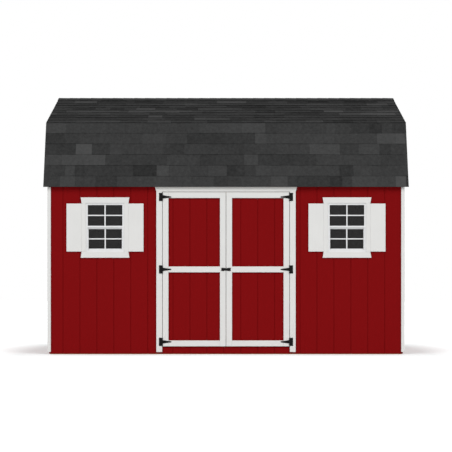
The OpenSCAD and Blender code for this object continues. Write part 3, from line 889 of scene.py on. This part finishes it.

# %% [markdown]
# Some tabs are two layers thick and some one, so their lower edges lie at two depths under the roof's
# surface. A tab thins out toward its upper end, where the next course covers it. The cut face at its lower
# end has no granules and is darker, and its dark tone is also painted shade for the shadow line under each
# course. Below all tabs lies a sheet of felt, which closes the gaps between them.

# %% Tabs of one slope
TWO_LAYERS = 0.0002
ONE_LAYER = 0.0020
LAYER_SHIFT = 0.0002
EDGE_SHIFT = 0.0015
TAB_LAP = 0.015
COVERED_TOP = 0.0051
RAISED_UNDERSIDE = 0.0046
UNDERSIDE = 0.0056
FELT_DEPTHS = (0.0057, 0.0057, 0.006, 0.006)
FELT_TONE = 0.12
# The cut face is darker asphalt, and its tone is also painted shade of the shadow line under each course.
CUT_AND_SHADOW_TONE = -0.1
CUT_FACE = list(WEDGE_SIDES).index("lower end")


def shingle_slope(points, courses, base_tone):
    """Lays a slope with tabs in courses, each a wedge from its course line to a lap under the next."""
    length, reach, sign, frame_of = slope_frame(points)
    course, ends = tab_ends(courses, reach)
    total = len(course)
    exposure = length / courses
    low = course * exposure + np.where(course > 0, SHAKE.uniform(-EDGE_SHIFT, EDGE_SHIFT, total), 0.0)
    high = np.minimum((course + 1) * exposure + TAB_LAP, length)
    layer = np.where(SHAKE.random(total) < 0.5, TWO_LAYERS, ONE_LAYER)
    layer = layer + SHAKE.uniform(-LAYER_SHIFT, LAYER_SHIFT, total)
    raised = np.where(course > 0, RAISED_UNDERSIDE, UNDERSIDE)
    depths = np.stack(np.broadcast_arrays(layer, COVERED_TOP, raised, UNDERSIDE), axis=1)
    tabs, faces = wedges(ends, np.stack([low, high], axis=1), depths, frame_of)
    whole_slope = np.array([[-reach, reach]]), np.array([[0.0, length]]), np.array([FELT_DEPTHS])
    felt, felt_faces = wedges(*whole_slope, frame_of)
    if sign > 0:
        faces, felt_faces = faces[:, ::-1], felt_faces[:, ::-1]
    tones = np.repeat(tab_tones(course, base_tone)[:, None], len(WEDGE_SIDES), axis=1)
    tones[:, CUT_FACE] = CUT_AND_SHADOW_TONE
    return joined([
        {"points": tabs, "faces": [faces], "tone": tones.ravel()},
        {"points": felt, "faces": [felt_faces], "tone": np.full(len(WEDGE_SIDES), FELT_TONE)},
    ])


print("a tab shows its cut at side", CUT_FACE + 1, "of", len(WEDGE_SIDES))

# %% [markdown]
# The steep lower slopes have six courses each, and the shallow upper slopes have ten. The upper slope has
# the same shingles, but its tone is lower: painted shade, because seen from the ground it is met at a flat
# angle and looks a little darker.

# %% Shingle pieces
LOWER_COURSES = 6
UPPER_COURSES = 10
LOWER_TONE = 0.295
# The upper slopes' lower tone is painted shade, for the flat angle at which they are seen.
UPPER_TONE_PAINTED_DARKER = 0.145
lower_slopes = [shingle_slope(points, LOWER_COURSES, LOWER_TONE) for points in solids("lower_shingles")]
make_piece("lower_shingle_tabs", joined(lower_slopes), [SHINGLES], "barn", ["lower_shingles"])
for node in ("front_upper_shingles", "back_upper_shingles"):
    upper_slope = shingle_slope(solids(node)[0], UPPER_COURSES, UPPER_TONE_PAINTED_DARKER)
    make_piece(node[:-1] + "_tabs", upper_slope, [SHINGLES], "barn", [node])

# %% [markdown]
# ## The ridge
# Short pieces of shingle are bent over the ridge, one after the other, and each covers the tail of the
# one before. A Simple Deform modifier could bend a flat piece, but the bent outline has a plain formula,
# so the pieces are grids of points along that outline. The lines lie closer together near the top, where
# the bend is.

# %% Ridge pieces
RIDGE_EXPOSURE = 0.143
RIDGE_LAP = 0.045
RIDGE_BEND = 0.002
RIDGE_LINES = np.array([-1.0, -0.5, -0.12, -0.04, 0.0, 0.04, 0.12, 0.5, 1.0])
RIDGE_DEPTHS = np.array([[0.0, 0.0026], [0.0026, 0.0050]])
RIDGE_TONE = 0.22
RIDGE_SPREAD = 0.05


def ridge_pieces(points):
    """Bends short pieces over the ridge, each one's end lying on the next piece's tail.

    Height falls from the ridge line by the slope times the root of distance squared plus bend squared.
    """
    reach, half, top = points[:, 0].max(), points[:, 1].max(), points[:, 2].max()
    fall = (top - points[points[:, 1] > half - 1e-5, 2].max()) / half
    count = math.ceil(2 * reach / RIDGE_EXPOSURE)
    exposure = 2 * reach / count
    start = -reach + exposure * np.arange(count)
    ends = np.stack([start, np.minimum(start + exposure + RIDGE_LAP, reach)], axis=1)
    across = half * RIDGE_LINES
    wide = len(across)
    grid = np.zeros((count, 2, 2, wide, 3))
    grid[..., 0] = ends[:, None, :, None]
    grid[..., 1] = across
    grid[..., 2] = top - fall * np.sqrt(across ** 2 + RIDGE_BEND ** 2) - RIDGE_DEPTHS[None, :, :, None]
    number = np.arange(count)[:, None] * 4 * wide + np.arange(wide - 1)
    top_near, top_far, low_near, low_far = [number + line * wide for line in range(4)]
    edge = np.arange(count) * 4 * wide
    quads = [
        np.stack([top_near, top_far, top_far + 1, top_near + 1], axis=-1).reshape(-1, 4),
        np.stack([low_near, low_near + 1, low_far + 1, low_far], axis=-1).reshape(-1, 4),
        np.stack([top_near, top_near + 1, low_near + 1, low_near], axis=-1).reshape(-1, 4),
        np.stack([top_far, low_far, low_far + 1, top_far + 1], axis=-1).reshape(-1, 4),
        np.stack([edge, edge + 2 * wide, edge + 3 * wide, edge + wide], axis=-1),
        np.stack([edge, edge + wide, edge + 3 * wide, edge + 2 * wide], axis=-1) + wide - 1,
    ]
    tone = RIDGE_TONE + SHAKE.normal(0.0, RIDGE_SPREAD, count)
    tones = np.concatenate([np.tile(np.repeat(tone, wide - 1), 4), tone, tone])
    return {"points": grid.reshape(-1, 3), "faces": quads, "tone": tones}


ridge = ridge_pieces(solids("ridge_cap")[0])
make_piece("ridge_shingles", ridge, [SHINGLES], "barn", ["ridge_cap"])

# %% [markdown]
# ## Window bars
# Each sash shows four panes. On such a window the bars are a grille laid on one sheet of glass: one bar
# runs the full height, and two short ones meet it from the sides. A Wireframe modifier on a grid of four
# faces would come close, but its bars have no eased edges. They are small boards, so the trim function
# makes them.

# %% Window bars
UPRIGHT_BAR = 0.015
LEVEL_BAR = 0.014
BAR_DEPTH = 0.010
BAR_EASING = 0.002


def box_corners(low, high):
    """The eight corners of a box."""
    pick = np.indices((2, 2, 2)).reshape(3, -1).T
    return np.where(pick == 0, low, high)


def window_bars(pane):
    """Lays one upright bar and two level bars in front of a pane, on its middle lines."""
    low, high = pane.min(axis=0), pane.max(axis=0)
    middle = (low + high) / 2
    half, flat = UPRIGHT_BAR / 2, LEVEL_BAR / 2
    near, far = low[1] - BAR_DEPTH, low[1]
    spans = [
        ((middle[0] - half, low[2]), (middle[0] + half, high[2])),
        ((low[0], middle[2] - flat), (middle[0] - half, middle[2] + flat)),
        ((middle[0] + half, middle[2] - flat), (high[0], middle[2] + flat)),
    ]
    return joined([
        eased_board(box_corners(np.array([x0, near, z0]), np.array([x1, far, z1])), "front", BAR_EASING)
        for (x0, z0), (x1, z1) in spans
    ])


bars = joined([window_bars(pane) for pane in solids("window_glass")])
make_piece("window_bars", bars, [VINYL], "barn")

# %% [markdown]
# ## Screws
# The hinges and the latch are held by round-headed screws. A head is a small dome. You could add a sphere
# for each and cut it in half, but one dome of points is worked out once and then copied to every screw's
# place by adding arrays, so all the screws of a body are one mesh.

# %% A screw head
SCREW_RADIUS = 0.0042
SCREW_RISE = 0.0022
SCREW_SIDES = 12
SCREW_RINGS = 4


def screw_heads(places):
    """Makes a dome at each place on a front face, as rings round a tip.

    Height is the rise times the cosine of the way out. Distance from the middle is the radius times
    the sine of the way out.
    """
    ring = np.linspace(0.0, math.pi / 2, SCREW_RINGS + 1)[1:]
    turn = np.linspace(0.0, 2 * math.pi, SCREW_SIDES, endpoint=False)
    out = np.concatenate([[SCREW_RISE], np.repeat(SCREW_RISE * np.cos(ring), SCREW_SIDES)])
    reach = np.repeat(SCREW_RADIUS * np.sin(ring), SCREW_SIDES)
    x = np.concatenate([[0.0], reach * np.tile(np.cos(turn), SCREW_RINGS)])
    z = np.concatenate([[0.0], reach * np.tile(np.sin(turn), SCREW_RINGS)])
    dome = np.stack([x, -out, z], axis=1)
    points = (np.asarray(places)[:, None] + dome).reshape(-1, 3)
    first = 1 + np.arange(SCREW_SIDES)
    after = 1 + (np.arange(SCREW_SIDES) + 1) % SCREW_SIDES
    tip = np.stack([np.zeros(SCREW_SIDES, dtype=int), first, after], axis=1)
    band = np.stack([first, first + SCREW_SIDES, after + SCREW_SIDES, after], axis=1)
    bands = np.concatenate([band + SCREW_SIDES * step for step in range(SCREW_RINGS - 1)])
    base = first[::-1] + SCREW_SIDES * (SCREW_RINGS - 1)
    shift = np.arange(len(places))[:, None, None] * len(dome)
    blocks = [tip[None] + shift, bands[None] + shift, base[None, None] + shift]
    return {"points": points, "faces": [block.reshape(-1, block.shape[-1]) for block in blocks]}


print("points in a screw head:", len(screw_heads([(0.0, 0.0, 0.0)])["points"]))

# %% [markdown]
# Each hinge has four screws in its butt, which is fixed to the casing, and three in its strap, which is
# fixed to the door. The latch has two on each door. Both sides of the barn mirror each other, so a screw
# is told by its distance from the barn's middle and by its height above or below the middle of its hinge.

# %% Screws of the hinges and the latch
IRON_SHEET = 0.003
BUTT_SCREWS = ((0.794, 0.040), (0.782, 0.018), (0.782, -0.018), (0.794, -0.040))
STRAP_SCREWS = (0.738, 0.708, 0.672)
LATCH_SCREWS = ((0.039, -0.0145), (0.039, 0.0145))
face_of_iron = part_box("door_side_casings")[0].y - IRON_SHEET
hinge_heights = [(part[:, 2].min() + part[:, 2].max()) / 2 for part in solids("right_hinge_straps")]
latch_low, latch_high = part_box("latch_keeper")
latch_height = (latch_low.z + latch_high.z) / 2

butt_spots = [
    (side * x, face_of_iron, height + rise)
    for side in (-1, 1) for height in hinge_heights for x, rise in BUTT_SCREWS
]
make_piece("hinge_butt_screws", screw_heads(butt_spots), [IRON], "barn", round_form=True)
for body, side in (("left_leaf", -1), ("right_leaf", 1)):
    spots = [(side * x, face_of_iron, height) for height in hinge_heights for x in STRAP_SCREWS]
    spots += [(side * x, face_of_iron, latch_height + rise) for x, rise in LATCH_SCREWS]
    make_piece(body + "_screws", screw_heads(spots), [IRON], body, round_form=True)

# %% [markdown]
# ## The parts that stay as they are
# Framing, decks, hinges, latch, window frames and panes were already modelled as they look. Making them
# again would add nothing. They only need their finish, so their meshes stay and their materials change.

# %% Finish of the solid parts
FINISHES = [
    (STUDS, ["front_studs", "back_studs", "gable_studs"]),
    (JOISTS, ["floor_joists"]),
    (HEADERS, ["opening_framing"]),
    (PLATES, ["rim_joists", "bottom_plates", "top_plates"]),
    (LOWER_RAFTERS, ["lower_rafters"]),
    (UPPER_RAFTERS, ["upper_rafters"]),
    (STRANDS, ["floor_deck", "rafter_gussets"]),
    (ROOF_DECKS, ["roof_decks"]),
    (VINYL, ["window_frames", "eave_soffits"]),
    (PANE, ["window_glass"]),
    (IRON, ["hinge_butts", "left_hinge_straps", "right_hinge_straps", "latch_bolt", "latch_keeper"]),
]
for material, nodes in FINISHES:
    for node in nodes:
        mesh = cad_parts[node].data
        mesh.materials.clear()
        mesh.materials.append(material)
    print(material.name, "on", ", ".join(nodes))

# %% [markdown]
# ## The floor
# A catalogue picture has a white floor with a short, soft shadow. A stronger lamp would whiten the floor,
# but the barn as well. So the floor glows a little, and only for the rays that look at it: those of the
# camera, of a mirror and through a pane. All other rays find a plain pale floor, so the glow doesn't
# light the barn's walls. Close to the barn the glow is weak and the shadow stays. Further out it is
# stronger, and the shadow fades to white. The floor's own colour is a little cool, against the red that
# the walls throw on it.

# %% Floor
FLOOR_REACH = 300
FLOOR_SHADE = (0.935, 0.97, 0.97, 1.0)
SHADOW_FADE = (0.28, 0.80)
NEAR_GLOW = 0.20
FAR_GLOW = 0.50
BLACK = (0.0, 0.0, 0.0, 1.0)
FULL_WHITE = (1.0, 1.0, 1.0, 1.0)


def seen_by_eye(graph):
    """One for rays of the camera, of a mirror or through a pane, and nought for all others."""
    rays = ("Is Camera Ray", "Is Glossy Ray", "Is Transmission Ray")
    camera_ray, mirror_ray, pane_ray = [graph.add("ShaderNodeLightPath", output=ray) for ray in rays]
    return camera_ray.math("MAXIMUM", mirror_ray).math("MAXIMUM", pane_ray)


def floor_paint():
    """Pale floor whose glow grows with the distance to the barn's outline, for rays that see it only."""
    graph = new_finish("white floor")
    across, along = graph.split(graph.place())[:2]
    beyond = (abs(across) - cad_high.x).math("MAXIMUM", abs(along) - cad_high.y)
    share = graph.ramp(beyond, *SHADOW_FADE) * (FAR_GLOW - NEAR_GLOW) + NEAR_GLOW
    glow = graph.mix(share * seen_by_eye(graph), BLACK, FULL_WHITE)
    return graph.finish(Base_Color=FLOOR_SHADE, Roughness=1.0, Specular_IOR_Level=0.0,
                        Emission_Color=glow, Emission_Strength=1.0)


floor_corners = [(x * FLOOR_REACH, y * FLOOR_REACH, 0) for x, y in ((-1, -1), (1, -1), (1, 1), (-1, 1))]
floor_mesh = bpy.data.meshes.new("floor")
floor_mesh.from_pydata(floor_corners, [], [(0, 1, 2, 3)])
floor_mesh.materials.append(floor_paint())
floor = bpy.data.objects.new("floor", floor_mesh)
bpy.context.scene.collection.objects.link(floor)
print("shadow fades", SHADOW_FADE[0], "to", SHADOW_FADE[1], "m from the barn")

# %% [markdown]
# ## Sky and suns
# The light in a catalogue picture is soft and comes from both sides. Big area lamps would do, but they
# have to be moved for every size of barn. Here the sky gives an even light from all around, half as
# strong as white, and it is white where the camera, a mirror or a pane looks at it.

# %% Sky
SKY_LIGHT = 0.50
world = bpy.data.worlds.new("studio")
bpy.context.scene.world = world
sky = Graph(world)
strength = seen_by_eye(sky) * (1.0 - SKY_LIGHT) + SKY_LIGHT
background = sky.add("ShaderNodeBackground", values={"Color": FULL_WHITE, "Strength": strength})
sky.add("ShaderNodeOutputWorld", values={"Surface": background})
print("sky gives", SKY_LIGHT, "and looks white")

# %% [markdown]
# Two wide suns stand in front of the barn, one on each side. A Sun lamp with a wide angle throws a soft
# shadow, and its light is as strong at the ridge as at the floor, which a lamp close by can't give. The
# right sun is a little stronger, so the shadow on the left is a little darker.

# %% Suns
SUN_TILT = 56
SUN_WIDTH = 34
SUNS = {"light from the right": (1.00, 36), "light from the left": (0.86, -36)}
for name, (energy, turn) in SUNS.items():
    sun_data = bpy.data.lights.new(name, "SUN")
    sun_data.energy = energy
    sun_data.angle = math.radians(SUN_WIDTH)
    sun = bpy.data.objects.new(name, sun_data)
    sun.rotation_euler = (math.radians(SUN_TILT), 0.0, math.radians(turn))
    bpy.context.scene.collection.objects.link(sun)
    print(name, "has strength", energy)

# %% [markdown]
# ## Camera
# The camera stands level, low and far away, as for a catalogue picture. You could tilt it to bring the
# barn into the middle, but then upright edges would lean. A level camera keeps them upright, and the barn
# is brought into the middle by shifting the lens.

# %% Camera and view
camera_data = bpy.data.cameras.new("camera")
camera_data.lens = 111.9
camera_data.sensor_width = 36.0
camera_data.shift_y = 0.159
camera = bpy.data.objects.new("camera", camera_data)
camera.location = (0.0, -18.384, 0.677)
camera.rotation_euler = (math.radians(90), 0.0, 0.0)
bpy.context.scene.collection.objects.link(camera)
bpy.context.scene.camera = camera
bpy.context.scene.view_settings.view_transform = "Standard"
print("camera at", [round(v, 3) for v in camera.location])

# %% [markdown]
